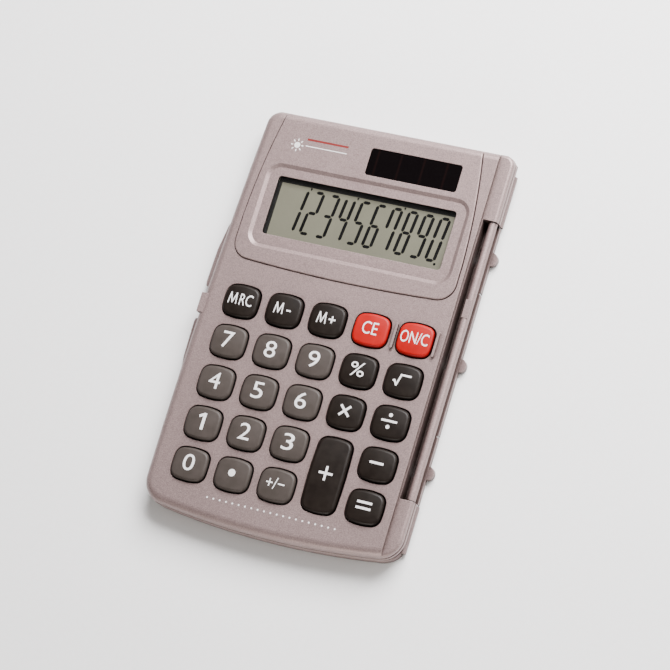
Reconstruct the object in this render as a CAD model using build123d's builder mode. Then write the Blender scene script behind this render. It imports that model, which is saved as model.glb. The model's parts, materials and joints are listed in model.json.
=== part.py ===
from build123d import *
import os

# Pocket calculator with a hard cover folded round behind it.
# Millimetres. X runs across the keys towards the hinge side, Y runs from the bottom row of keys
# to the display, Z comes out of the key face. The origin is under the middle of the body, on
# the surface that the folded cover rests on.

# ---- driving dimensions: body ----
BODY_WIDTH = 70.8
BODY_LENGTH = 110.0
BOTTOM_BOW = 2.9  # how far the bottom edge bows out between its corners
CORNER_BOTTOM = 6.5
CORNER_TOP_LEFT = 4.0
CORNER_TOP_RIGHT = 3.0

# ---- heights ----
COVER_THICKNESS = 2.1
COVER_RIM_DEPTH = 1.3  # hollow that houses the key tops when the cover is shut
BODY_BASE = 2.3
FLOOR_TOP = 3.2
PARTING = 4.35
WALL_START = 4.65  # the upper wall starts here, above a fine shadow groove
CEILING = 6.5
BLOCK_TOP = 6.4
POCKET_FLOOR = 7.0
DECK = 7.5
PAD_TOP = 7.85
KEY_TOP = 8.7
DECK_ROUNDING = 2.3
BLOCK_ROUNDING = 0.9

# ---- walls and gaps ----
WALL = 1.35
UPPER_INSET = 0.15
GROOVE_INSET = 0.45
KEY_GAP = 0.3
FIT = 0.1

# ---- hinge ----
STEP_X = 31.3  # the deck ends here and drops to the corner blocks
SLOT_X = 31.55
SLOT_HALF = 37.1
CAVITY_X = 30.1
AXIS_A_X = 34.0
AXIS_A_Z = 4.85
AXIS_B_X = 34.4
AXIS_B_Z = COVER_THICKNESS / 2
BARREL_R = 1.1
LINK_HALF = 36.8
LINK_AXLE_R = 0.6
LINK_AXLE_HALF = 42.0
COVER_AXLE_R = 0.5
COVER_AXLE_HALF = 43.0
RUNNING = 0.05
BEAD_R = COVER_THICKNESS / 2
BEAD_END = 51.0
SLIT_Y = 19.0
SLIT = 0.6
BUMP_Y = 28.5
BUMP_R = 1.75
BUMP_X = 35.0
BUMP_CLEARANCE = 0.25

# ---- display ----
LCD_WINDOW = (49.4, 16.0)
LCD_Y = 29.4
SOLAR_WINDOW = (25.1, 7.4)
SOLAR_X = 10.35
SOLAR_Y = 45.7
PAD_MID_X = -0.4
PAD_TOP_X = 26.4
PAD_FOOT_X = 30.5
PAD_FOOT_Y = 13.0
PAD_CORNER = 4.6
PAD_GROOVE = 0.22
BEZEL_DEPTH = 0.5
BEZEL_MARGIN = (2.5, 2.6)  # how far the sloped recess reaches past the LCD opening


# ---- catch on the free side ----
CATCH_REACH = 35.45
LIP_REACH = 37.5
LIP_BASE = 0.5
LIP_TOP = 1.95

# ---- keys ----
COLUMN_PITCH = 12.0
ROW_PITCH = 11.02
TOP_ROW_Y = 2.45
KEY_WIDTH = 9.4
KEY_LENGTH = 8.5
KEY_BOW = 0.7
KEY_SIDE_BOW = 0.3
KEY_CORNER = 2.25
KEY_RIM = 0.8  # rounding of the cap's rim
CROWN_R = 32.0  # radius of the domed top
TALL_CROWN_R = 90.0
TALL_KEY = ROW_PITCH + KEY_LENGTH
FLANGE = 0.7  # how far the flange under the case reaches past the key
FLANGE_BASE = 5.62
FLANGE_TOP = 6.45

# ---- inside ----
BOARD_BASE = 3.4
BOARD_TOP = 4.2
MAT_TOP = 4.55
CELL_X = -18.0
CELL_Y = 46.3
CELL_R = 5.8
SCREWS = [(-30.0, -49.7), (27.0, -49.7), (-29.3, 50.0), (27.3, 51.3)]
BOSS_R = 1.9

COLUMNS = [COLUMN_PITCH * i for i in (-2, -1, 0, 1, 2)]
ROWS = [TOP_ROW_Y - ROW_PITCH * i for i in range(5)]

# name, column, row
SMALL_KEYS = [
    ("key_mrc", 0, 0),
    ("key_m_minus", 1, 0),
    ("key_m_plus", 2, 0),
    ("key_ce", 3, 0),
    ("key_on_c", 4, 0),
    ("key_7", 0, 1),
    ("key_8", 1, 1),
    ("key_9", 2, 1),
    ("key_percent", 3, 1),
    ("key_root", 4, 1),
    ("key_4", 0, 2),
    ("key_5", 1, 2),
    ("key_6", 2, 2),
    ("key_multiply", 3, 2),
    ("key_divide", 4, 2),
    ("key_1", 0, 3),
    ("key_2", 1, 3),
    ("key_3", 2, 3),
    ("key_minus", 4, 3),
    ("key_0", 0, 4),
    ("key_point", 1, 4),
    ("key_sign", 2, 4),
    ("key_equals", 4, 4),
]
KEYS = [(name, COLUMNS[c], ROWS[r], KEY_LENGTH) for name, c, r in SMALL_KEYS]
KEYS.append(("key_plus", COLUMNS[3], (ROWS[3] + ROWS[4]) / 2, TALL_KEY))


def keep(builder, name):
    """Label a finished piece and write it to its own file."""
    builder.part.label = name
    export_step(builder.part, f"parts/{name}.step")


def body_outline(inset=0.0):
    """Plan of the body: bowed left side, straight hinge side, bowed bottom edge."""
    right = BODY_WIDTH / 2
    top = BODY_LENGTH / 2
    with BuildSketch() as plan:
        with BuildLine():
            foot = ThreePointArc((-35.3, -top + BOTTOM_BOW), (0, -top), (right, -top + BOTTOM_BOW))
            Line(foot @ 1, (right, top))
            head = Line((right, top), (-33.1, top))
            ThreePointArc(head @ 1, (-35.35, -8), foot @ 0)
        make_face()
        fillet(plan.vertices().filter_by(lambda v: v.Y < 0), CORNER_BOTTOM)
        fillet(plan.vertices().filter_by(lambda v: v.Y > 50 and v.X < 0), CORNER_TOP_LEFT)
        fillet(plan.vertices().filter_by(lambda v: v.Y > 50 and v.X > 0), CORNER_TOP_RIGHT)
        if inset:
            offset(amount=-inset, kind=Kind.INTERSECTION)
    return plan.sketch


def pad_outline(grow=0.0):
    """Plan of the display surround: narrow at the top edge, round lower corners, bowed foot."""
    with BuildSketch() as plan:
        with BuildLine():
            foot = ThreePointArc((-PAD_FOOT_X, PAD_FOOT_Y + 1.1), (0, PAD_FOOT_Y), (PAD_FOOT_X, PAD_FOOT_Y + 1.1))
            right = ThreePointArc((PAD_TOP_X, 58), (29.3, 40.5), (PAD_FOOT_X, 24))
            Line(foot @ 1, right @ 1)
            head = Line(right @ 0, (-PAD_TOP_X, 58))
            left = ThreePointArc(head @ 1, (-29.3, 40.5), (-PAD_FOOT_X, 24))
            Line(left @ 1, foot @ 0)
        make_face()
        corners = plan.vertices().filter_by(lambda v: v.Y < 20)
        fillet(corners, PAD_CORNER)
        if grow:
            offset(amount=grow)
    with BuildSketch() as placed:
        with Locations((PAD_MID_X, 0)):
            add(plan.sketch)
    return placed.sketch


def key_outline(height, grow=0.0):
    """Plan of a key at the origin: bowed top and bottom, nearly straight sides, round corners."""
    x = KEY_WIDTH / 2 + grow
    y = height / 2 + grow
    with BuildSketch() as plan:
        with BuildLine():
            corner_x = x - KEY_SIDE_BOW
            corner_y = y - KEY_BOW
            ThreePointArc((-corner_x, -corner_y), (0, -y), (corner_x, -corner_y))
            ThreePointArc((corner_x, -corner_y), (x, 0), (corner_x, corner_y))
            ThreePointArc((corner_x, corner_y), (0, y), (-corner_x, corner_y))
            ThreePointArc((-corner_x, corner_y), (-x, 0), (-corner_x, -corner_y))
        make_face()
        fillet(plan.vertices(), KEY_CORNER + grow)
    return plan.sketch


def block(x0, x1, y0, y1, z0, z1, mode=Mode.ADD):
    """A box between two corners, in the part being built."""
    with BuildSketch(Plane.XY.offset(z0)) as profile:
        with Locations(((x0 + x1) / 2, (y0 + y1) / 2)):
            Rectangle(x1 - x0, y1 - y0)
    extrude(profile.sketch, amount=z1 - z0, mode=mode)


def rod_along_y(x, z, radius, y0, y1, mode=Mode.ADD):
    """A round bar along Y, in the part being built."""
    with BuildSketch(Plane(origin=(x, y0, z), z_dir=(0, 1, 0))) as profile:
        Circle(radius)
    extrude(profile.sketch, amount=y1 - y0, mode=mode)


def cut_axle_bores():
    """Running bores for the link's axle in both corner blocks."""
    bore_end = LINK_AXLE_HALF + 0.2
    for y0, y1 in ((SLOT_HALF - 1, bore_end), (-bore_end, -SLOT_HALF + 1)):
        rod_along_y(AXIS_A_X, AXIS_A_Z, LINK_AXLE_R + RUNNING, y0, y1, Mode.SUBTRACT)


def cavity_outline():
    """Plan of the inside of the body, which stops short of the hinge slot."""
    with BuildSketch() as plan:
        add(body_outline(WALL))
        with Locations((CAVITY_X + 5, 0)):
            Rectangle(10, 130, mode=Mode.SUBTRACT)
    return plan.sketch


os.makedirs("parts", exist_ok=True)

# ---- upper case half: the deck, and beyond its step the lower corner blocks ----
with BuildPart() as deck_side:
    with BuildSketch(Plane.XY.offset(WALL_START)):
        add(body_outline(UPPER_INSET))
    extrude(amount=DECK - WALL_START)
    fillet(deck_side.faces().sort_by(Axis.Z)[-1].outer_wire().edges(), DECK_ROUNDING)
    split(bisect_by=Plane.YZ.offset(STEP_X), keep=Keep.BOTTOM)

with BuildPart() as block_side:
    with BuildSketch(Plane.XY.offset(WALL_START)):
        add(body_outline(UPPER_INSET))
    extrude(amount=BLOCK_TOP - WALL_START)
    fillet(block_side.faces().sort_by(Axis.Z)[-1].outer_wire().edges(), BLOCK_ROUNDING)
    split(bisect_by=Plane.YZ.offset(STEP_X), keep=Keep.TOP)

with BuildPart() as upper_shell:
    add(deck_side.part)
    add(block_side.part)
    # neck that forms the shadow groove above the parting line
    with BuildSketch(Plane.XY.offset(PARTING)):
        add(body_outline(GROOVE_INSET))
    extrude(amount=WALL_START - PARTING)
    with BuildSketch(Plane.XY.offset(PARTING)):
        add(cavity_outline())
    extrude(amount=CEILING - PARTING, mode=Mode.SUBTRACT)
    # hinge slot between the blocks
    block(SLOT_X, 40, -SLOT_HALF, SLOT_HALF, PARTING, DECK + 1, Mode.SUBTRACT)
    cut_axle_bores()
    # pocket for the display surround, a fine groove wider than it
    with BuildSketch(Plane.XY.offset(POCKET_FLOOR)):
        add(pad_outline(PAD_GROOVE))
    extrude(amount=3, mode=Mode.SUBTRACT)
    with BuildSketch(Plane.XY.offset(CEILING)):
        with Locations((0, LCD_Y)):
            RectangleRounded(LCD_WINDOW[0] + 2.2, LCD_WINDOW[1] + 2.2, 1.0)
        with Locations((SOLAR_X, SOLAR_Y)):
            RectangleRounded(SOLAR_WINDOW[0] + 1.0, SOLAR_WINDOW[1] + 1.0, 1.0)
    extrude(amount=2, mode=Mode.SUBTRACT)
    # key holes, with a soft edge
    with BuildSketch(Plane.XY.offset(CEILING)):
        for name, x, y, height in KEYS:
            with Locations((x, y)):
                add(key_outline(height, KEY_GAP))
    extrude(amount=3, mode=Mode.SUBTRACT)
    hole_edges = upper_shell.edges().filter_by(
        lambda e: abs(e.center().Z - DECK) < 0.01 and e.center().Y < 9 and e.center().X < 30
        and e.center().X > -30 and e.center().Y > -47
    )
    chamfer(hole_edges, 0.15)
    # guard ribs each side of the ON/C key
    for side in (-1, 1):
        rib_x = COLUMNS[4] + side * (KEY_WIDTH / 2 + 0.9)
        with BuildSketch(Plane.XY.offset(DECK - 0.2)):
            with Locations((rib_x, ROWS[0])):
                SlotOverall(6.7, 0.6, rotation=90)
        extrude(amount=1.1)
    # catch plate on the left side, level with the gap between the cover's finger lips
    block(-CATCH_REACH, -33.5, -2.4, 2.8, 5.6, 7.35)
    # screw bosses
    with BuildSketch(Plane.XY.offset(PARTING + FIT)):
        with Locations(*SCREWS):
            Circle(BOSS_R)
    extrude(amount=CEILING - PARTING - FIT)
    with BuildSketch(Plane.XY.offset(PARTING)):
        with Locations(*SCREWS):
            Circle(0.7)
    extrude(amount=1.95, mode=Mode.SUBTRACT)
keep(upper_shell, "upper_shell")

# ---- lower case half ----
with BuildPart() as lower_shell:
    with BuildSketch(Plane.XY.offset(BODY_BASE)):
        add(body_outline())
    extrude(amount=PARTING - BODY_BASE)
    fillet(lower_shell.faces().sort_by(Axis.Z)[0].outer_wire().edges(), 1.2)
    chamfer(lower_shell.faces().sort_by(Axis.Z)[-1].outer_wire().edges(), 0.12)
    with BuildSketch(Plane.XY.offset(FLOOR_TOP)):
        add(cavity_outline())
    extrude(amount=PARTING - FLOOR_TOP, mode=Mode.SUBTRACT)
    block(SLOT_X, 40, -SLOT_HALF, SLOT_HALF, 0, 10, Mode.SUBTRACT)
    cut_axle_bores()
    # pads under the circuit board
    with BuildSketch(Plane.XY.offset(FLOOR_TOP)):
        with Locations((-27, -36), (27, -36), (-27, 8), (27, 8), (0, -14), (-27, 35), (27, 35)):
            Circle(1.5)
    extrude(amount=BOARD_BASE - FLOOR_TOP)
    # screw posts with countersunk holes from below
    with BuildSketch(Plane.XY.offset(FLOOR_TOP)):
        with Locations(*SCREWS):
            Circle(BOSS_R)
    extrude(amount=PARTING - FLOOR_TOP)
    with BuildSketch(Plane.XY.offset(BODY_BASE)):
        with Locations(*SCREWS):
            Circle(0.95)
    extrude(amount=3, mode=Mode.SUBTRACT)
    with BuildSketch(Plane.XY.offset(BODY_BASE)):
        with Locations(*SCREWS):
            Circle(1.45)
    extrude(amount=0.95, mode=Mode.SUBTRACT)
    # battery opening, with a step that the door rests on
    with BuildSketch(Plane.XY.offset(BODY_BASE)):
        with Locations((CELL_X, CELL_Y)):
            RectangleRounded(15.4, 13.6, 1.5)
    extrude(amount=0.55, mode=Mode.SUBTRACT)
    with BuildSketch(Plane.XY.offset(BODY_BASE)):
        with Locations((CELL_X, CELL_Y)):
            Circle(CELL_R + 0.3)
    extrude(amount=2, mode=Mode.SUBTRACT)
    # pilot hole of the door's screw
    with BuildSketch(Plane.XY.offset(BODY_BASE)):
        with Locations((CELL_X + 6.7, CELL_Y - 5.7)):
            Circle(0.45)
    extrude(amount=2, mode=Mode.SUBTRACT)
keep(lower_shell, "lower_shell")

# ---- display surround: a raised pad that follows the body's rounded top edge ----
with BuildPart() as display_bezel:
    with BuildSketch(Plane.XY.offset(WALL_START)):
        add(body_outline(UPPER_INSET))
    extrude(amount=PAD_TOP - WALL_START)
    fillet(display_bezel.faces().sort_by(Axis.Z)[-1].outer_wire().edges(), DECK_ROUNDING)
    split(bisect_by=Plane.XY.offset(POCKET_FLOOR), keep=Keep.TOP)
    with BuildSketch(Plane.XY.offset(POCKET_FLOOR)):
        add(pad_outline())
    extrude(amount=3, mode=Mode.INTERSECT)
    pad_rim = display_bezel.edges().filter_by(
        lambda e: abs(e.center().Z - PAD_TOP) < 0.01 and e.center().Y < 53
    )
    fillet(pad_rim, 0.3)
    # sloped recess round the LCD opening
    with BuildSketch(Plane.XY.offset(PAD_TOP - BEZEL_DEPTH)):
        with Locations((0, LCD_Y - 0.3)):
            RectangleRounded(LCD_WINDOW[0] + 2 * BEZEL_MARGIN[0], LCD_WINDOW[1] + 2 * BEZEL_MARGIN[1], 3.0)
    extrude(amount=BEZEL_DEPTH + 0.1, taper=-62, mode=Mode.SUBTRACT)
    with BuildSketch(Plane.XY.offset(POCKET_FLOOR)):
        with Locations((0, LCD_Y)):
            RectangleRounded(*LCD_WINDOW, 0.9)
        with Locations((SOLAR_X, SOLAR_Y)):
            RectangleRounded(*SOLAR_WINDOW, 0.8)
    extrude(amount=2, mode=Mode.SUBTRACT)
keep(display_bezel, "display_bezel")

# ---- clear window over the LCD ----
with BuildPart() as display_lens:
    with BuildSketch(Plane.XY.offset(CEILING)):
        with Locations((0, LCD_Y)):
            RectangleRounded(LCD_WINDOW[0] + 2.0, LCD_WINDOW[1] + 2.0, 0.9)
    extrude(amount=POCKET_FLOOR - CEILING - 0.02)
keep(display_lens, "display_lens")

# ---- smoked window over the solar cell ----
with BuildPart() as solar_window:
    with BuildSketch(Plane.XY.offset(CEILING)):
        with Locations((SOLAR_X, SOLAR_Y)):
            RectangleRounded(SOLAR_WINDOW[0] - 0.1, SOLAR_WINDOW[1] - 0.1, 0.75)
    extrude(amount=PAD_TOP - CEILING - 0.15)
    top_edges = solar_window.faces().sort_by(Axis.Z)[-1].edges()
    chamfer(top_edges, 0.1)
keep(solar_window, "solar_window")

# ---- solar cell ----
with BuildPart() as solar_cell:
    with BuildSketch(Plane.XY.offset(5.5)):
        with Locations((SOLAR_X, SOLAR_Y)):
            Rectangle(SOLAR_WINDOW[0] + 1.8, SOLAR_WINDOW[1] + 1.6)
    extrude(amount=0.95)
keep(solar_cell, "solar_cell")

with BuildPart() as solar_contacts:
    for side in (-1, 1):
        spring_x = SOLAR_X + side * 10.5
        with BuildSketch(Plane.XZ.offset(-43.2)):
            with BuildLine():
                FilletPolyline((spring_x - 1.5, 4.3), (spring_x, 4.3), (spring_x, 5.4),
                               (spring_x + 1.5, 5.4), radius=0.3)
                offset(amount=0.09, side=Side.BOTH)
            make_face()
        extrude(amount=1.6)
keep(solar_contacts, "solar_contacts")

# ---- LCD stack ----
with BuildPart() as lcd_holder:
    with BuildSketch(Plane.XY.offset(4.9)):
        with Locations((0, LCD_Y)):
            Rectangle(54.4, 21.0)
            Rectangle(LCD_WINDOW[0] + 0.4, LCD_WINDOW[1] + 0.4, mode=Mode.SUBTRACT)
    extrude(amount=CEILING - 4.9 - 0.03)
    # rebate that takes the glass from below
    block(-26.1, 26.1, LCD_Y - 9.4, LCD_Y + 9.4, 4.0, 5.95, Mode.SUBTRACT)
keep(lcd_holder, "lcd_holder")

with BuildPart() as lcd_glass:
    with BuildSketch(Plane.XY.offset(5.05)):
        with Locations((0, LCD_Y)):
            Rectangle(52.0, 18.6)
    extrude(amount=0.88)
    # the rear sheet is shorter, which leaves the contact ledge along the lower edge
    block(-27, 27, LCD_Y - 9.5, LCD_Y - 7.8, 5.0, 5.5, Mode.SUBTRACT)
keep(lcd_glass, "lcd_glass")

with BuildPart() as lcd_reflector:
    block(-25.6, 25.6, LCD_Y - 7.6, LCD_Y + 9.2, 4.9, 5.03)
keep(lcd_reflector, "lcd_reflector")

with BuildPart() as lcd_connector:
    block(-24.5, 24.5, LCD_Y - 9.3, LCD_Y - 7.95, BOARD_TOP, 5.48)
    fillet(lcd_connector.edges().filter_by(Axis.X), 0.3)
keep(lcd_connector, "lcd_connector")

# ---- circuit board ----
with BuildPart() as circuit_board:
    block(-28.9, 29.2, -47.0, 39.3, BOARD_BASE, BOARD_TOP)
    block(-8.0, 24.6, 39.3, 49.5, BOARD_BASE, BOARD_TOP)
    block(-20.5, -8.0, 39.3, 40.4, BOARD_BASE, BOARD_TOP)
    with BuildSketch(Plane.XY.offset(BOARD_BASE)):
        with Locations((-25.5, 12.3), (25.5, 12.3)):
            Circle(1.0)
    extrude(amount=1, mode=Mode.SUBTRACT)
keep(circuit_board, "circuit_board")

with BuildPart() as controller_chip:
    with BuildSketch(Plane.XY.offset(BOARD_TOP)):
        with Locations((0, 31)):
            Circle(4.2)
    extrude(amount=0.6)
    fillet(controller_chip.faces().sort_by(Axis.Z)[-1].edges(), 0.5)
keep(controller_chip, "controller_chip")

with BuildPart() as board_components:
    for x, y in ((-12, 13), (-8, 13), (6, 13.5), (14, 13.5), (-4, 45), (0, 45)):
        block(x - 1.0, x + 1.0, y - 0.6, y + 0.6, BOARD_TOP, BOARD_TOP + 0.7)
keep(board_components, "board_components")

# ---- rubber mat: a sheet with a hollow spring dome under each key ----
with BuildPart() as rubber_keymat:
    block(-28.5, 29.0, -47.0, 8.2, BOARD_TOP, MAT_TOP)
    with BuildSketch(Plane.XY.offset(MAT_TOP)):
        for name, x, y, height in KEYS:
            with Locations((x, y)):
                Circle(3.6)
    extrude(amount=FLANGE_BASE - MAT_TOP - 0.02, taper=32)
    with BuildSketch(Plane.XY.offset(BOARD_TOP)):
        for name, x, y, height in KEYS:
            with Locations((x, y)):
                Circle(3.1)
    extrude(amount=0.9, taper=32, mode=Mode.SUBTRACT)
keep(rubber_keymat, "rubber_keymat")

# ---- button cell and its contacts ----
with BuildPart() as button_cell:
    with BuildSketch(Plane.XY.offset(3.2)):
        with Locations((CELL_X, CELL_Y)):
            Circle(CELL_R)
    extrude(amount=3.05)
    fillet(button_cell.faces().sort_by(Axis.Z)[-1].edges(), 0.4)
    with BuildSketch(Plane.XY.offset(3.2)):
        with Locations((CELL_X, CELL_Y)):
            Circle(CELL_R)
            Circle(CELL_R - 0.8, mode=Mode.SUBTRACT)
    extrude(amount=0.25, mode=Mode.SUBTRACT)
keep(button_cell, "button_cell")

with BuildPart() as battery_contact_positive:
    block(CELL_X - 2, CELL_X + 2, CELL_Y - 5.9, CELL_Y + 3, 6.27, 6.45)
    # leg down to the board's edge
    block(CELL_X - 2, CELL_X + 2, CELL_Y - 6.15, CELL_Y - 5.9, BOARD_TOP, 6.45)
keep(battery_contact_positive, "battery_contact_positive")

with BuildPart() as battery_contact_negative:
    with BuildSketch(Plane.XY.offset(2.9)):
        with Locations((CELL_X, CELL_Y)):
            Circle(3.4)
            Circle(1.4, mode=Mode.SUBTRACT)
    extrude(amount=0.25)
    block(CELL_X - 0.6, CELL_X + 0.6, CELL_Y - 0.9, CELL_Y + 2, 3.0, 3.18)
keep(battery_contact_negative, "battery_contact_negative")

with BuildPart() as battery_door:
    with BuildSketch(Plane.XY.offset(BODY_BASE)):
        with Locations((CELL_X, CELL_Y)):
            RectangleRounded(15.1, 13.3, 1.4)
    extrude(amount=0.52)
    with BuildSketch(Plane.XY.offset(BODY_BASE)):
        with Locations((CELL_X + 6.7, CELL_Y - 5.7)):
            Circle(0.6)
    extrude(amount=1, mode=Mode.SUBTRACT)
    # finger grooves
    with BuildSketch(Plane.XY.offset(BODY_BASE)):
        with GridLocations(0, 1.2, 1, 5):
            with Locations((CELL_X, CELL_Y)):
                Rectangle(7, 0.5)
    extrude(amount=0.2, mode=Mode.SUBTRACT)
keep(battery_door, "battery_door")


def small_screw(x, y, z, head_r, shank_r, length):
    """A pan head screw from below with a cross recess, in the part being built."""
    with BuildSketch(Plane.XY.offset(z)) as head:
        with Locations((x, y)):
            Circle(head_r)
    extrude(head.sketch, amount=0.5)
    with BuildSketch(Plane.XY.offset(z + 0.5)) as shank:
        with Locations((x, y)):
            Circle(shank_r)
    extrude(shank.sketch, amount=length)
    with BuildSketch(Plane.XY.offset(z)) as cross:
        with Locations((x, y)):
            Rectangle(head_r * 1.3, 0.3)
            Rectangle(0.3, head_r * 1.3)
    extrude(cross.sketch, amount=0.25, mode=Mode.SUBTRACT)


with BuildPart() as case_screws:
    for x, y in SCREWS:
        small_screw(x, y, 2.7, 1.35, 0.68, 3.0)
keep(case_screws, "case_screws")

with BuildPart() as door_screw:
    small_screw(CELL_X + 6.7, CELL_Y - 5.7, BODY_BASE + 0.05, 0.55, 0.43, 0.6)
keep(door_screw, "door_screw")

# ---- hinge link: barrel in the case's slot, web, and a strip along the cover's axis ----
with BuildPart() as hinge_link:
    rod_along_y(AXIS_A_X, AXIS_A_Z, BARREL_R, -LINK_HALF, LINK_HALF)
    block(33.45, 34.4, -LINK_HALF, LINK_HALF, 2.0, 4.4)
    block(33.35, 35.1, -LINK_HALF, LINK_HALF, 0.1, 2.15)
    # raised patch on the barrel
    block(33.2, 34.8, 11.2, 16.0, AXIS_A_Z, AXIS_A_Z + BARREL_R + 0.08)
    strip_edges = hinge_link.edges().filter_by(Axis.Y)
    fillet(strip_edges.filter_by(lambda e: e.center().Z < 0.2), 0.5)
    # bumps, one on each segment
    with BuildSketch(Plane.XY.offset(0.35)):
        for y in (-BUMP_Y, 0, BUMP_Y):
            with Locations((BUMP_X, y)):
                Circle(BUMP_R)
        with Locations((30.0, 0)):
            Rectangle(10, 90, mode=Mode.SUBTRACT)
    extrude(amount=1.4)
    # slits that divide the strip into three
    for y in (-SLIT_Y, SLIT_Y):
        block(34.75, 36, y - SLIT / 2, y + SLIT / 2, 0, 2.3, Mode.SUBTRACT)
    # bores for the two axles
    rod_along_y(AXIS_A_X, AXIS_A_Z, LINK_AXLE_R + 0.02, -40, 40, Mode.SUBTRACT)
    rod_along_y(AXIS_B_X, AXIS_B_Z, COVER_AXLE_R + RUNNING, -40, 40, Mode.SUBTRACT)
keep(hinge_link, "hinge_link")

with BuildPart() as link_axle:
    rod_along_y(AXIS_A_X, AXIS_A_Z, LINK_AXLE_R, -LINK_AXLE_HALF, LINK_AXLE_HALF)
    chamfer(link_axle.edges().filter_by(GeomType.CIRCLE), 0.15)
keep(link_axle, "link_axle")

with BuildPart() as cover_axle:
    rod_along_y(AXIS_B_X, AXIS_B_Z, COVER_AXLE_R, -COVER_AXLE_HALF, COVER_AXLE_HALF)
    chamfer(cover_axle.edges().filter_by(GeomType.CIRCLE), 0.1)
keep(cover_axle, "cover_axle")

# ---- folding cover: a shallow tray, hollow side down while it is folded behind ----
with BuildPart() as folding_cover:
    with BuildSketch():
        add(body_outline(0.05))
    extrude(amount=COVER_THICKNESS)
    fillet(folding_cover.faces().sort_by(Axis.Z)[-1].outer_wire().edges(), 0.45)
    # two finger lips on the free edge, square beside the gap and tapered at their far ends
    with BuildSketch(Plane.XY.offset(LIP_BASE)):
        for near, far in ((5.9, 25.9), (-3.1, -23.9)):
            step = (far - near) / 20
            with BuildLine():
                Polyline(
                    (-34, near),
                    (-LIP_REACH + 0.2, near),
                    (-LIP_REACH, near + step),
                    (-LIP_REACH + 0.2, near + 10 * step),
                    (-LIP_REACH + 1.2, near + 17 * step),
                    (-35.0, far),
                    (-34, far),
                    close=True,
                )
            make_face()
    extrude(amount=LIP_TOP - LIP_BASE)
    with BuildSketch():
        add(body_outline(1.3))
        with Locations((36.4, 0)):
            Rectangle(8, 130, mode=Mode.SUBTRACT)
    extrude(amount=COVER_RIM_DEPTH, mode=Mode.SUBTRACT)
    # the hinge edge is cut back to the axis, and its bead is added again
    block(AXIS_B_X, 40, -60, 60, -1, 5, Mode.SUBTRACT)
    rod_along_y(AXIS_B_X, AXIS_B_Z, BEAD_R, SLOT_HALF + 0.1, BEAD_END)
    rod_along_y(AXIS_B_X, AXIS_B_Z, BEAD_R, -BEAD_END + 1.5, -SLOT_HALF - 0.1)
    # room for the hinge link
    block(32.75, 40, -SLOT_HALF - 0.1, SLOT_HALF + 0.1, -1, 5, Mode.SUBTRACT)
    # notches that the link's bumps pass through as the cover turns
    bump_reach = BUMP_X + BUMP_R - AXIS_B_X
    notch_x = AXIS_B_X - (bump_reach**2 + 0.7**2) ** 0.5 - BUMP_CLEARANCE
    for y in (-BUMP_Y, 0, BUMP_Y):
        block(notch_x, 33, y - BUMP_R - BUMP_CLEARANCE, y + BUMP_R + BUMP_CLEARANCE, -1, 5, Mode.SUBTRACT)
    # low rim at the top edge, which passes over the raised display surround
    block(-27.6, 28.3, 53.0, 56, -1, 0.5, Mode.SUBTRACT)
    for y0, y1 in ((30, COVER_AXLE_HALF + 0.3), (-COVER_AXLE_HALF - 0.3, -30)):
        rod_along_y(AXIS_B_X, AXIS_B_Z, COVER_AXLE_R + RUNNING, y0, y1, Mode.SUBTRACT)
keep(folding_cover, "folding_cover")

# ---- keys: a domed cap that passes through the case, on a flange under it ----
for name, x, y, height in KEYS:
    with BuildPart() as key:
        with BuildSketch(Plane((x, y, FLANGE_TOP))):
            add(key_outline(height))
        extrude(amount=KEY_TOP - FLANGE_TOP)
        crown_r = TALL_CROWN_R if height == TALL_KEY else CROWN_R
        with Locations((x, y, KEY_TOP - crown_r)):
            Sphere(crown_r, mode=Mode.INTERSECT)
        fillet(key.faces().sort_by(Axis.Z)[-1].edges(), KEY_RIM)
        with BuildSketch(Plane((x, y, FLANGE_BASE))):
            add(key_outline(height, FLANGE))
        extrude(amount=FLANGE_TOP - FLANGE_BASE)
    keep(key, name)
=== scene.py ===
import json
import math

import bmesh
import bpy
from mathutils import Euler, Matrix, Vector
from mathutils.bvhtree import BVHTree


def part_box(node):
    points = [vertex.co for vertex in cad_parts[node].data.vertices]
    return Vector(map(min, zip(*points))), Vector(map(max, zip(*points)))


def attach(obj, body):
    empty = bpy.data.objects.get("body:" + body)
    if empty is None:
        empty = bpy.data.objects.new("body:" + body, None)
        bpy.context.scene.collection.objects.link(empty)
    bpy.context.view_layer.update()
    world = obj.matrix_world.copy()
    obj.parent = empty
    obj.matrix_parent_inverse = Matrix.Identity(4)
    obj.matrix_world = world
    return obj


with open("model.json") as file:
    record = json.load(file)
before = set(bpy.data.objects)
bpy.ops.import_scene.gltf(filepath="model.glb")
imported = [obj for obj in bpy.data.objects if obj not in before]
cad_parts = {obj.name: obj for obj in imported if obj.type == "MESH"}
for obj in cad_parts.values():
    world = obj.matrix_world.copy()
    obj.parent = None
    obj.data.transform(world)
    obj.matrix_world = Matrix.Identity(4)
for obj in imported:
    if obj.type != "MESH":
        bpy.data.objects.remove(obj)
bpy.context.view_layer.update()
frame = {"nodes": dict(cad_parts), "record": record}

MM = 0.001
BODY = "body"

# lacquer of the case: between its flakes, and on them
SILVER_BASE = (0.168, 0.119, 0.115)
SILVER_BRIGHT = (0.312, 0.230, 0.222)
# paler colour of the case's edges, partly wear and partly painted highlight
SILVER_WORN_AND_LIT = (0.42, 0.34, 0.32)
# colour of the painted shade in the case's grooves and corners
SILVER_PAINTED_SHADE = (0.10, 0.062, 0.045)

CREASE_DEGREES = 28  # edges of the CAD pieces sharper than this stay sharp

# print, in millimetres
LONGEST_EDGE = 0.45  # edges longer than this are split, so that print follows a curved face
SPLITS = 3
PRINT_SINK = 0.02
LEGEND_LIFT = 0.012
FIGURE_LIFT = 0.01
FILM_LIFT = 0.008
LEGEND_SHIFT = (-0.12, 0.36)  # from a key's middle to the middle of its legend
LEGEND_STROKE = 0.6


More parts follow.
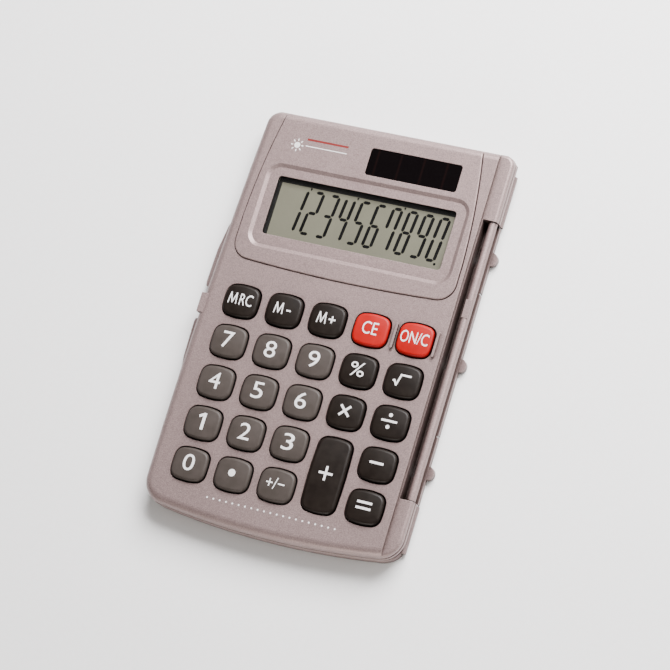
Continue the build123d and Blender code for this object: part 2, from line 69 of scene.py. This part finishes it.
# ---------------------------------------------------------------- node helpers
def new_material(name):
    """An empty node material and its shader, wired to the output."""
    material = bpy.data.materials.new(name)
    material.use_nodes = True
    nodes = material.node_tree.nodes
    nodes.clear()
    output = nodes.new("ShaderNodeOutputMaterial")
    shader = nodes.new("ShaderNodeBsdfPrincipled")
    material.node_tree.links.new(shader.outputs[0], output.inputs["Surface"])
    return material, shader


def link(material, out_socket, in_socket):
    material.node_tree.links.new(out_socket, in_socket)


def object_point(material):
    """Position on the piece, in metres."""
    return material.node_tree.nodes.new("ShaderNodeTexCoord").outputs["Object"]


def noise(material, point, size_mm, detail=3.0, roughness=0.5):
    """Noise whose lumps are about size_mm across."""
    node = material.node_tree.nodes.new("ShaderNodeTexNoise")
    node.inputs["Scale"].default_value = 1 / (size_mm * MM)
    node.inputs["Detail"].default_value = detail
    node.inputs["Roughness"].default_value = roughness
    link(material, point, node.inputs["Vector"])
    return node.outputs["Fac"]


def ramp(material, value, *stops):
    """A colour ramp; each stop is (position, (r, g, b)) or (position, grey)."""
    node = material.node_tree.nodes.new("ShaderNodeValToRGB")
    elements = node.color_ramp.elements
    while len(elements) < len(stops):
        elements.new(0.5)
    for element, (position, colour) in zip(elements, stops):
        element.position = position
        rgb = colour if isinstance(colour, tuple) else (colour, colour, colour)
        element.color = (*rgb, 1)
    link(material, value, node.inputs["Fac"])
    return node.outputs["Color"]


def spread(material, value, low, high):
    """Noise value mapped to the range low to high."""
    node = material.node_tree.nodes.new("ShaderNodeMapRange")
    node.inputs["From Min"].default_value = 0.3
    node.inputs["From Max"].default_value = 0.7
    node.inputs["To Min"].default_value = low
    node.inputs["To Max"].default_value = high
    link(material, value, node.inputs["Value"])
    return node.outputs["Result"]


def mix_colour(material, factor, first, second, blend="MIX"):
    """Mix of two colour sockets or colours by a factor socket or number."""
    node = material.node_tree.nodes.new("ShaderNodeMix")
    node.data_type = "RGBA"
    node.blend_type = blend
    for socket, value in ((node.inputs[0], factor), (node.inputs[6], first), (node.inputs[7], second)):
        if isinstance(value, bpy.types.NodeSocket):
            link(material, value, socket)
        elif isinstance(value, tuple):
            socket.default_value = (*value, 1)
        else:
            socket.default_value = value
    return node.outputs[2]


def bump(material, shader, height, depth_mm, strength, after=None):
    """Surface relief of depth_mm from a height socket."""
    node = material.node_tree.nodes.new("ShaderNodeBump")
    node.inputs["Strength"].default_value = strength
    node.inputs["Distance"].default_value = depth_mm * MM
    link(material, height, node.inputs["Height"])
    if after is not None:
        link(material, after, node.inputs["Normal"])
    link(material, node.outputs["Normal"], shader.inputs["Normal"])
    return node.outputs["Normal"]


def edge_wear(material, radius_mm, amount):
    """A mask, 0 on faces and up to amount within radius_mm of an edge, for paler edges that are partly
    wear and partly painted highlight; and the rounded normal.
    """
    nodes = material.node_tree.nodes
    rounded = nodes.new("ShaderNodeBevel")
    rounded.samples = 6
    rounded.inputs["Radius"].default_value = radius_mm * MM
    flat = nodes.new("ShaderNodeNewGeometry")
    match = nodes.new("ShaderNodeVectorMath")
    match.operation = "DOT_PRODUCT"
    link(material, rounded.outputs["Normal"], match.inputs[0])
    link(material, flat.outputs["Normal"], match.inputs[1])
    mapped = nodes.new("ShaderNodeMapRange")
    mapped.inputs["From Min"].default_value = 0.985
    mapped.inputs["From Max"].default_value = 0.85
    mapped.inputs["To Max"].default_value = amount
    link(material, match.outputs["Value"], mapped.inputs["Value"])
    return mapped.outputs["Result"], rounded.outputs["Normal"]


def crevices(material, colour, reach_mm, dark):
    """The colour darkened with painted shade in grooves and corners, where ambient occlusion finds
    them.
    """
    # painted shade: ambient occlusion darkens the colour in grooves and corners
    occlusion = material.node_tree.nodes.new("ShaderNodeAmbientOcclusion")
    occlusion.samples = 8
    occlusion.inputs["Distance"].default_value = reach_mm * MM
    shade = ramp(material, occlusion.outputs["AO"], (0.25, dark), (0.95, 1.0))
    return mix_colour(material, 1.0, colour, shade, "MULTIPLY")


# ---------------------------------------------------------------- materials
def silver_paint(name):
    """Champagne metallic lacquer: fine flakes, faint cloudiness, orange peel."""
    material, shader = new_material(name)
    point = object_point(material)
    flakes = noise(material, point, 0.24, detail=2.5, roughness=0.75)
    clouds = noise(material, point, 14, detail=2)
    colour = ramp(material, flakes, (0.36, SILVER_BASE), (0.66, SILVER_BRIGHT))
    cloudy = ramp(material, clouds, (0.3, 0.94), (0.7, 1.0))
    colour = mix_colour(material, 1.0, colour, cloudy, "MULTIPLY")
    # paler edges: partly wear, partly painted highlight
    wear_and_shine, rounded = edge_wear(material, 0.12, 0.6)
    colour = mix_colour(material, wear_and_shine, colour, SILVER_WORN_AND_LIT)
    # painted shade darkening the lacquer in grooves and corners
    colour = crevices(material, colour, 3.0, SILVER_PAINTED_SHADE)
    link(material, colour, shader.inputs["Base Color"])
    link(material, spread(material, flakes, 0.42, 0.56), shader.inputs["Roughness"])
    shader.inputs["Metallic"].default_value = 0.5
    shader.inputs["Coat Weight"].default_value = 0.12
    shader.inputs["Coat Roughness"].default_value = 0.25
    peel = noise(material, point, 0.9, detail=2)
    first = bump(material, shader, peel, 0.012, 0.35, after=rounded)
    bump(material, shader, flakes, 0.006, 0.5, after=first)
    return material


def moulded(name, dark, light, rough=(0.34, 0.46), specular=0.4):
    """Moulded plastic: spark-eroded grain, faint mottling, paler edges that are partly polished and
    partly painted highlight, and painted shade in its grooves and corners.
    """
    material, shader = new_material(name)
    point = object_point(material)
    mottle = noise(material, point, 2.4, detail=4)
    fine = noise(material, point, 0.22, detail=2, roughness=0.6)
    colour = ramp(material, mottle, (0.3, dark), (0.75, light))
    wear_and_shine, rounded = edge_wear(material, 0.1, 0.5)
    # paler edge colour: partly polish, partly painted highlight
    edge = tuple(min(1.0, c * 1.25 + 0.003) for c in light)
    colour = mix_colour(material, wear_and_shine, colour, edge)
    # painted shade darkening grooves and corners
    colour = crevices(material, colour, 1.2, 0.1)
    link(material, colour, shader.inputs["Base Color"])
    link(material, spread(material, mottle, *rough), shader.inputs["Roughness"])
    shader.inputs["Specular IOR Level"].default_value = specular
    bump(material, shader, fine, 0.008, 0.6, after=rounded)
    return material


def metal(name, dark, light, rough):
    """Plain metal with fine drawn grain and light stains."""
    material, shader = new_material(name)
    point = object_point(material)
    grain = noise(material, point, 0.3, detail=5, roughness=0.7)
    stain = noise(material, point, 3, detail=3)
    colour = ramp(material, stain, (0.35, dark), (0.65, light))
    link(material, colour, shader.inputs["Base Color"])
    link(material, spread(material, grain, rough - 0.08, rough + 0.1), shader.inputs["Roughness"])
    shader.inputs["Metallic"].default_value = 1.0
    bump(material, shader, grain, 0.004, 0.4)
    return material


def clear_acrylic(name):
    """Thin clear window: what is behind shows through, with a soft glossy face."""
    material, shader = new_material(name)
    point = object_point(material)
    smear = noise(material, point, 6, detail=4)
    link(material, spread(material, smear, 0.03, 0.09), shader.inputs["Roughness"])
    link(material, ramp(material, smear, (0.3, 0.010), (0.7, 0.022)), shader.inputs["Base Color"])
    shader.inputs["Alpha"].default_value = 0.10
    shader.inputs["IOR"].default_value = 1.49
    return material


def lcd_face(name):
    """Grey-green reflective LCD with polariser haze."""
    material, shader = new_material(name)
    point = object_point(material)
    haze = noise(material, point, 9, detail=3)
    grain = noise(material, point, 0.12, detail=1)
    colour = ramp(material, haze, (0.3, (0.152, 0.148, 0.106)), (0.7, (0.170, 0.166, 0.120)))
    speck = ramp(material, grain, (0.3, 0.95), (0.7, 1.0))
    colour = mix_colour(material, 1.0, colour, speck, "MULTIPLY")
    link(material, colour, shader.inputs["Base Color"])
    link(material, spread(material, grain, 0.30, 0.40), shader.inputs["Roughness"])
    return material


def solar_glass(name):
    """Nearly black glass with the cell's strips just showing."""
    material, shader = new_material(name)
    point = object_point(material)
    wave = material.node_tree.nodes.new("ShaderNodeTexWave")
    wave.inputs["Scale"].default_value = 50
    wave.inputs["Distortion"].default_value = 0.0
    link(material, point, wave.inputs["Vector"])
    line, cell = (0.004, 0.0015, 0.0015), (0.0012, 0.0006, 0.0008)
    strips = ramp(material, wave.outputs["Color"], (0.0, line), (0.03, cell))
    link(material, strips, shader.inputs["Base Color"])
    dust = noise(material, point, 0.5, detail=6, roughness=0.8)
    link(material, spread(material, dust, 0.10, 0.22), shader.inputs["Roughness"])
    shader.inputs["Specular IOR Level"].default_value = 0.2
    return material


def printed_board(name):
    """Green solder mask with paler tracks."""
    material, shader = new_material(name)
    point = object_point(material)
    cells = material.node_tree.nodes.new("ShaderNodeTexBrick")
    cells.inputs["Scale"].default_value = 260
    cells.inputs["Mortar Size"].default_value = 0.06
    cells.inputs["Color1"].default_value = (0.03, 0.12, 0.04, 1)
    cells.inputs["Color2"].default_value = (0.04, 0.15, 0.05, 1)
    cells.inputs["Mortar"].default_value = (0.09, 0.26, 0.09, 1)
    link(material, point, cells.inputs["Vector"])
    link(material, cells.outputs["Color"], shader.inputs["Base Color"])
    weave = noise(material, point, 0.4, detail=2)
    link(material, spread(material, weave, 0.28, 0.42), shader.inputs["Roughness"])
    bump(material, shader, cells.outputs["Fac"], 0.02, 0.5)
    return material


def white_ink(name, colour=(0.74, 0.73, 0.73), edge=(0.62, 0.61, 0.61)):
    """Pad-printed ink, slightly uneven."""
    material, shader = new_material(name)
    point = object_point(material)
    patchy = noise(material, point, 0.35, detail=4)
    link(material, ramp(material, patchy, (0.32, edge), (0.6, colour)), shader.inputs["Base Color"])
    link(material, spread(material, patchy, 0.42, 0.58), shader.inputs["Roughness"])
    return material


def table_top(name):
    """Pale matt floor with the faintest tooth."""
    material, shader = new_material(name)
    point = object_point(material)
    tooth = noise(material, point, 1.5, detail=5)
    link(material, ramp(material, tooth, (0.3, 0.86), (0.7, 0.88)), shader.inputs["Base Color"])
    shader.inputs["Roughness"].default_value = 0.7
    bump(material, shader, tooth, 0.02, 0.3)
    return material


def make_materials():
    """One material for each of the record's slots, and a few for the pieces made here."""
    grey = {"rough": (0.42, 0.52), "specular": 0.20}
    return {
        "silver_paint": silver_paint("silver_paint"),
        "clear_window": clear_acrylic("clear_window"),
        "smoked_window": solar_glass("smoked_window"),
        "dark_cell": moulded("dark_cell", (0.01, 0.008, 0.012), (0.02, 0.016, 0.024)),
        "lcd": lcd_face("lcd"),
        "reflector": moulded("reflector", (0.30, 0.30, 0.26), (0.36, 0.36, 0.31)),
        "black_plastic": moulded("black_plastic", (0.010, 0.009, 0.007), (0.018, 0.016, 0.012)),
        "pale_rubber": moulded("pale_rubber", (0.42, 0.42, 0.40), (0.50, 0.50, 0.48), (0.6, 0.75)),
        "board": printed_board("board"),
        "components": moulded("components", (0.16, 0.10, 0.06), (0.24, 0.17, 0.11)),
        "spring_metal": metal("spring_metal", (0.52, 0.42, 0.20), (0.66, 0.56, 0.32), 0.28),
        "steel": metal("steel", (0.42, 0.42, 0.42), (0.55, 0.55, 0.55), 0.26),
        "key_grey": moulded("key_grey", (0.038, 0.031, 0.027), (0.047, 0.038, 0.034), **grey),
        "key_dark": moulded("key_dark", (0.0050, 0.0028, 0.0018), (0.0078, 0.0047, 0.0030), **grey),
        "key_red": moulded("key_red", (0.27, 0.0016, 0.0014), (0.32, 0.0022, 0.0020), **grey),
        "white_ink": white_ink("white_ink"),
        "red_ink": white_ink("red_ink", (0.15, 0.003, 0.002), (0.12, 0.002, 0.002)),
        "lcd_ink": moulded("lcd_ink", (0.003, 0.003, 0.004), (0.005, 0.005, 0.006), specular=0.1),
        # near-black film laid on the LCD as painted shadow
        "shadow_film_ink": moulded("shadow_film_ink", (0.012, 0.010, 0.006), (0.022, 0.019, 0.011)),
        "floor": table_top("floor"),
    }


SLOTS = {part["node"]: part["material_slot"] for part in frame["record"]["subparts"]}


def paint_cad_nodes(materials):
    """Every CAD piece takes the material of its slot, and is shaded flat on its flat faces."""
    for node, piece in frame["nodes"].items():
        piece.data.materials.clear()
        piece.data.materials.append(materials[SLOTS[node]])
        piece.data.shade_smooth()
        piece.data.set_sharp_from_angle(angle=math.radians(CREASE_DEGREES))
        weighted = piece.modifiers.new("flat_faces", "WEIGHTED_NORMAL")
        weighted.keep_sharp = True
        weighted.weight = 100


# ---------------------------------------------------------------- meshes
def slab_over(name, flat, surface, lift, material):
    """Lays a flat mesh on a surface from above, as a closed film that stands lift millimetres out.

    flat is a bmesh in the XY plane; its points drop onto surface, a BVH tree.
    """
    bmesh.ops.triangulate(flat, faces=flat.faces[:])
    for _ in range(SPLITS):
        long_edges = [e for e in flat.edges if e.calc_length() > LONGEST_EDGE * MM]
        if not long_edges:
            break
        bmesh.ops.subdivide_edges(flat, edges=long_edges, cuts=1)
        bmesh.ops.triangulate(flat, faces=flat.faces[:])
    flat.verts.ensure_lookup_table()
    flat.verts.index_update()
    tops = []
    for vert in flat.verts:
        hit = surface.ray_cast(Vector((vert.co.x, vert.co.y, 0.1)), Vector((0, 0, -1)))[0]
        tops.append(Vector((vert.co.x, vert.co.y, hit.z if hit else vert.co.z)))
    count = len(tops)
    points = [p + Vector((0, 0, lift * MM)) for p in tops]
    points += [p - Vector((0, 0, PRINT_SINK * MM)) for p in tops]
    faces = []
    for face in flat.faces:
        ring = [v.index for v in face.verts]
        if face.normal.z < 0:
            ring.reverse()
        faces.append(ring)
        faces.append([i + count for i in reversed(ring)])
    for edge in flat.edges:
        if len(edge.link_faces) == 1:
            loop = edge.link_loops[0]
            a, b = loop.vert.index, loop.link_loop_next.vert.index
            if edge.link_faces[0].normal.z < 0:
                a, b = b, a
            faces.append([a, a + count, b + count, b])
    mesh = bpy.data.meshes.new(name)
    mesh.from_pydata(points, [], faces)
    mesh.materials.append(material)
    mesh.update()
    flat.free()
    piece = bpy.data.objects.new(name, mesh)
    bpy.context.scene.collection.objects.link(piece)
    return piece


def flat_polygons(polygons):
    """A flat bmesh of separate polygons, each a list of (x, y) in millimetres."""
    flat = bmesh.new()
    for polygon in polygons:
        flat.faces.new([flat.verts.new((x * MM, y * MM, 0)) for x, y in polygon])
    flat.normal_update()
    return flat


def flat_text(text, height, width, centre, weight):
    """A flat mesh of lettering, centred, of a height and width in millimetres."""
    curve = bpy.data.curves.new("lettering", "FONT")
    curve.body = text
    curve.size = 1.0
    curve.offset = weight
    curve.resolution_u = 4
    holder = bpy.data.objects.new("lettering", curve)
    bpy.context.scene.collection.objects.link(holder)
    depsgraph = bpy.context.evaluated_depsgraph_get()
    mesh = bpy.data.meshes.new_from_object(holder.evaluated_get(depsgraph))
    bpy.data.objects.remove(holder)
    bpy.data.curves.remove(curve)
    flat = bmesh.new()
    flat.from_mesh(mesh)
    bmesh.ops.remove_doubles(flat, verts=flat.verts[:], dist=1e-5)
    xs = [v.co.x for v in flat.verts]
    ys = [v.co.y for v in flat.verts]
    middle = Vector(((min(xs) + max(xs)) / 2, (min(ys) + max(ys)) / 2, 0))
    scale_x = width / (max(xs) - min(xs))
    scale_y = height / (max(ys) - min(ys))
    for vert in flat.verts:
        moved = vert.co - middle
        vert.co = Vector((centre[0] + moved.x * scale_x, centre[1] + moved.y * scale_y, 0)) * MM
    flat.to_mesh(mesh)
    flat.free()
    return mesh


def surface_of(node):
    """The CAD node's surface, for laying print on it."""
    piece = frame["nodes"][node]
    mesh = piece.data
    corners = [piece.matrix_world @ v.co for v in mesh.vertices]
    return BVHTree.FromPolygons(corners, [tuple(p.vertices) for p in mesh.polygons])


def disc(x, y, radius, steps=28):
    """A round spot as a polygon."""
    return [
        (x + radius * math.cos(2 * math.pi * i / steps), y + radius * math.sin(2 * math.pi * i / steps))
        for i in range(steps)
    ]


def bar(x, y, width, height):
    """An upright rectangle about its middle."""
    return [
        (x - width / 2, y - height / 2),
        (x + width / 2, y - height / 2),
        (x + width / 2, y + height / 2),
        (x - width / 2, y + height / 2),
    ]


def cross(x, y, reach, width, turn=0.0):
    """A plus sign as one polygon, turned by an angle in degrees."""
    w = width / 2
    arm = [(w, w), (w, reach), (-w, reach), (-w, w)]
    points = []
    for quarter in range(4):
        angle = math.radians(90 * quarter + turn)
        for px, py in arm[:3]:
            points.append((
                x + px * math.cos(angle) - py * math.sin(angle),
                y + px * math.sin(angle) + py * math.cos(angle),
            ))
    return points


def letter_m(x, y, width, height):
    """A capital M with splayed legs, from its lower left corner."""
    outline = [
        (0, 0), (0.12, 1), (0.24, 1), (0.5, 0.28), (0.76, 1), (0.88, 1), (1, 0),
        (0.885, 0), (0.8, 0.72), (0.55, 0.06), (0.45, 0.06), (0.2, 0.72), (0.115, 0),
    ]
    return [(x + px * width, y + py * height) for px, py in outline]


def middle_of(node):
    low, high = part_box(node)
    return (low[0] + high[0]) / 2 / MM, (low[1] + high[1]) / 2 / MM


def legend_middle(node):
    """Where a key's print is centred: a little above and left of its middle."""
    x, y = middle_of(node)
    return x + LEGEND_SHIFT[0], y + LEGEND_SHIFT[1]


def symbol_polygons(node):
    """Outlines of a key's plain signs, if it has any."""
    x, y = legend_middle(node)
    stroke = LEGEND_STROKE
    marks = {
        "key_plus": [cross(x, y, 1.85, stroke)],
        "key_multiply": [cross(x, y, 1.9, stroke, 45)],
        "key_minus": [bar(x, y, 3.7, stroke)],
        "key_equals": [bar(x, y + 0.75, 4.0, stroke), bar(x, y - 0.75, 4.0, stroke)],
        "key_divide": [
            bar(x, y, 4.2, stroke * 0.9), disc(x, y + 1.55, 0.5), disc(x, y - 1.55, 0.5),
        ],
        "key_point": [disc(x, y, 0.95)],
        "key_mrc": [letter_m(x - 3.3, y - 1.5, 2.5, 3.0)],
        "key_m_minus": [letter_m(x - 2.45, y - 1.5, 2.6, 3.0), bar(x + 1.6, y - 0.3, 1.2, 0.42)],
        "key_m_plus": [letter_m(x - 2.5, y - 1.5, 2.6, 3.0), cross(x + 1.6, y - 0.1, 0.9, 0.42)],
        "key_1": [[
            (x + 0.0, y - 2.2), (x + 0.8, y - 2.2), (x + 0.8, y + 2.2), (x + 0.15, y + 2.2),
            (x - 1.2, y + 1.45), (x - 0.95, y + 0.85), (x + 0.0, y + 1.3),
        ]],
        "key_root": [[
            (x - 2.3, y - 0.45), (x - 1.7, y - 0.25), (x - 1.1, y - 1.1), (x - 0.55, y + 1.3),
            (x + 2.3, y + 1.3), (x + 2.3, y + 0.82), (x - 0.15, y + 0.82), (x - 0.9, y - 1.9),
            (x - 1.25, y - 1.9), (x - 1.95, y - 0.8), (x - 2.25, y - 0.85),
        ]],
    }
    return marks.get(node, [])


# node: lettering, height, width, weight
LETTERING = {
    "key_mrc": ("RC", 3.05, 3.5, 0.0),
    "key_ce": ("CE", 3.3, 4.1, 0.0),
    "key_on_c": ("ON/C", 3.1, 7.5, 0.0),
    "key_percent": ("%", 3.7, 3.9, 0.0),
    "key_sign": ("+/−", 3.0, 5.0, 0.0),
}
LETTERING.update({f"key_{digit}": (str(digit), 4.3, 3.1, 0.001) for digit in (0, *range(2, 10))})


def key_legends(materials):
    """The white print on every key, curved with its cap."""
    for node in frame["nodes"]:
        if not node.startswith("key_"):
            continue
        flat = flat_polygons(symbol_polygons(node))
        if node in LETTERING:
            text, height, width, weight = LETTERING[node]
            x, y = legend_middle(node)
            if flat.faces:
                x += 1.6
            lettering = flat_text(text, height, width, (x, y), weight)
            flat.from_mesh(lettering)
            bpy.data.meshes.remove(lettering)
        flat.normal_update()
        name = node.replace("key_", "legend_")
        piece = slab_over(name, flat, surface_of(node), LEGEND_LIFT, materials["white_ink"])
        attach(piece, node)


# ---------------------------------------------------------------- LCD
DIGIT_HEIGHT = 12.2
DIGIT_WIDTH = 3.1
DIGIT_PITCH = 4.35
STROKE = 0.84
SLANT = 1.15 / 11.7
LAST_DIGIT_X = 21.35  # middle of the last digit
DIGIT_Y = 29.55
# the bars that each figure lights: a top, b right high, c right low, d foot, e left low,
# f left high, g middle
FIGURES = ["abcdef", "bc", "abged", "abgcd", "fgbc", "afgcd", "afgedc", "abcf", "abcdefg", "abfgcd"]


def figure_bars(figure, x, y):
    """The lit bars of one seven-bar figure, each with pointed ends."""
    half_w = DIGIT_WIDTH / 2 - STROKE / 2
    half_h = DIGIT_HEIGHT / 2 - STROKE / 2
    gap = 0.1
    ends = {
        "a": ((-half_w, half_h), (half_w, half_h)),
        "b": ((half_w, half_h), (half_w, 0)),
        "c": ((half_w, 0), (half_w, -half_h)),
        "d": ((-half_w, -half_h), (half_w, -half_h)),
        "e": ((-half_w, 0), (-half_w, -half_h)),
        "f": ((-half_w, half_h), (-half_w, 0)),
        "g": ((-half_w, 0), (half_w, 0)),
    }
    bars = []
    for key in FIGURES[figure]:
        start, end = Vector(ends[key][0]), Vector(ends[key][1])
        along = (end - start).normalized()
        side = Vector((-along.y, along.x)) * STROKE / 2
        start, end = start + along * gap, end - along * gap
        point = along * STROKE / 2
        outline = [
            start, start + point + side, end - point + side,
            end, end - point - side, start + point - side,
        ]
        bars.append([(x + p.x + p.y * SLANT, y + p.y) for p in outline])
    return bars


def lcd_figures(materials):
    """The ten figures on the LCD's front face, with thousands marks and a point."""
    bars = []
    for place, figure in enumerate([1, 2, 3, 4, 5, 6, 7, 8, 9, 0]):
        x = LAST_DIGIT_X - DIGIT_PITCH * (9 - place)
        bars += figure_bars(figure, x, DIGIT_Y)
        if place in (0, 3, 6):
            mark_x = x + DIGIT_WIDTH / 2 + 0.75
            mark_y = DIGIT_Y + DIGIT_HEIGHT / 2 + 0.1
            bars.append([
                (mark_x - 0.3, mark_y + 0.35), (mark_x - 0.1, mark_y - 0.35),
                (mark_x + 0.1, mark_y - 0.35), (mark_x + 0.3, mark_y + 0.35),
            ])
    bars.append(disc(LAST_DIGIT_X + 1.0, DIGIT_Y - DIGIT_HEIGHT / 2 - 0.35, 0.36, 16))
    glass = surface_of("lcd_glass")
    piece = slab_over("lcd_figures", flat_polygons(bars), glass, FIGURE_LIFT, materials["lcd_ink"])
    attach(piece, BODY)


def lcd_mask(materials):
    """Painted shadow on the LCD: a dark film along its top and left edges, where the window's rim
    shades it, wider along its top.
    """
    half = 24.7
    top = 37.4
    foot = 21.4
    bars = [
        bar(0.0, top + 0.1, 2 * half, 2.6),
        bar(-half, (top + foot) / 2 - 1.2, 1.7, top - foot),
    ]
    glass = surface_of("lcd_glass")
    # dark film laid on the LCD as painted shadow
    piece = slab_over("lcd_shadow_film", flat_polygons(bars), glass, FILM_LIFT, materials["shadow_film_ink"])
    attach(piece, BODY)


# ---------------------------------------------------------------- print on the case
def printed_marks(materials):
    """Plain marks in place of lettering: a sun sign, a red rule and a dotted rule."""
    surround = surface_of("display_bezel")
    sun_x, sun_y = -22.3, 46.2
    sun = [disc(sun_x, sun_y, 0.8)]
    for i in range(8):
        angle = math.radians(45 * i)
        reach = Vector((math.cos(angle), math.sin(angle)))
        side = Vector((-reach.y, reach.x)) * 0.13
        a, b = reach * 1.15, reach * 1.75
        sun.append([(sun_x + p.x, sun_y + p.y) for p in (a - side, b - side, b + side, a + side)])
    piece = slab_over("print_sun", flat_polygons(sun), surround, FILM_LIFT, materials["white_ink"])
    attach(piece, BODY)
    rules = [
        ("print_red_rule", bar(-14.2, 48.2, 11.5, 0.55), "red_ink"),
        ("print_white_rule", bar(-14.2, 46.4, 11.5, 0.22), "white_ink"),
    ]
    for name, outline, ink in rules:
        piece = slab_over(name, flat_polygons([outline]), surround, FILM_LIFT, materials[ink])
        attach(piece, BODY)
    deck = surface_of("upper_shell")
    dots = [disc(-17.0 + 1.75 * i, -48.6, 0.24, 12) for i in range(21)]
    piece = slab_over("print_dots", flat_polygons(dots), deck, FILM_LIFT, materials["white_ink"])
    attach(piece, BODY)


# ---------------------------------------------------------------- studio
FLOOR_SIZE = 6
SKY = (1.0, 0.985, 0.97, 1)
SKY_STRENGTH = 0.22
# name: place, size, watts, colour; all are aimed at the origin
LAMPS = {
    "front": ((0.05, -0.8, 0.2), (0.5, 0.3), 5.0, (1, 0.93, 0.86)),
    "top": ((0.14, 0.42, 0.39), (0.45, 0.35), 17.0, (1.0, 0.98, 0.985)),
    "right": ((0.66, 0.1, 0.46), (0.4, 0.4), 2.0, (1.0, 0.975, 0.95)),
}
CAMERA_PLACE = (0.24523, -0.14399, 0.64695)
CAMERA_TURN = (17.444, 16.383, 17.479)  # degrees
LENS = 148.9
SENSOR_WIDTH = 36


def area_light(name, place, size, power, colour):
    """A rectangular lamp aimed at the origin."""
    data = bpy.data.lights.new(name, "AREA")
    data.shape = "RECTANGLE"
    data.size, data.size_y = size
    data.energy = power
    data.color = colour
    lamp = bpy.data.objects.new(name, data)
    bpy.context.scene.collection.objects.link(lamp)
    lamp.location = place
    lamp.rotation_euler = (-Vector(place)).to_track_quat("-Z", "Y").to_euler()


def studio(materials):
    """Pale floor, soft light, and the camera."""
    bpy.ops.mesh.primitive_grid_add(x_subdivisions=4, y_subdivisions=4, size=FLOOR_SIZE)
    floor = bpy.context.object
    floor.name = "floor"
    floor.data.materials.append(materials["floor"])

    world = bpy.data.worlds.new("studio")
    world.use_nodes = True
    background = world.node_tree.nodes["Background"]
    background.inputs["Color"].default_value = SKY
    background.inputs["Strength"].default_value = SKY_STRENGTH
    bpy.context.scene.world = world

    for name, lamp in LAMPS.items():
        area_light(name, *lamp)

    camera_data = bpy.data.cameras.new("camera")
    camera_data.lens = LENS
    camera_data.sensor_width = SENSOR_WIDTH
    camera_data.clip_start = 0.01
    camera = bpy.data.objects.new("camera", camera_data)
    bpy.context.scene.collection.objects.link(camera)
    camera.location = CAMERA_PLACE
    camera.rotation_euler = Euler([math.radians(angle) for angle in CAMERA_TURN])
    bpy.context.scene.camera = camera


materials = make_materials()
paint_cad_nodes(materials)
key_legends(materials)
lcd_figures(materials)
lcd_mask(materials)
printed_marks(materials)
studio(materials)

bpy.context.view_layer.update()
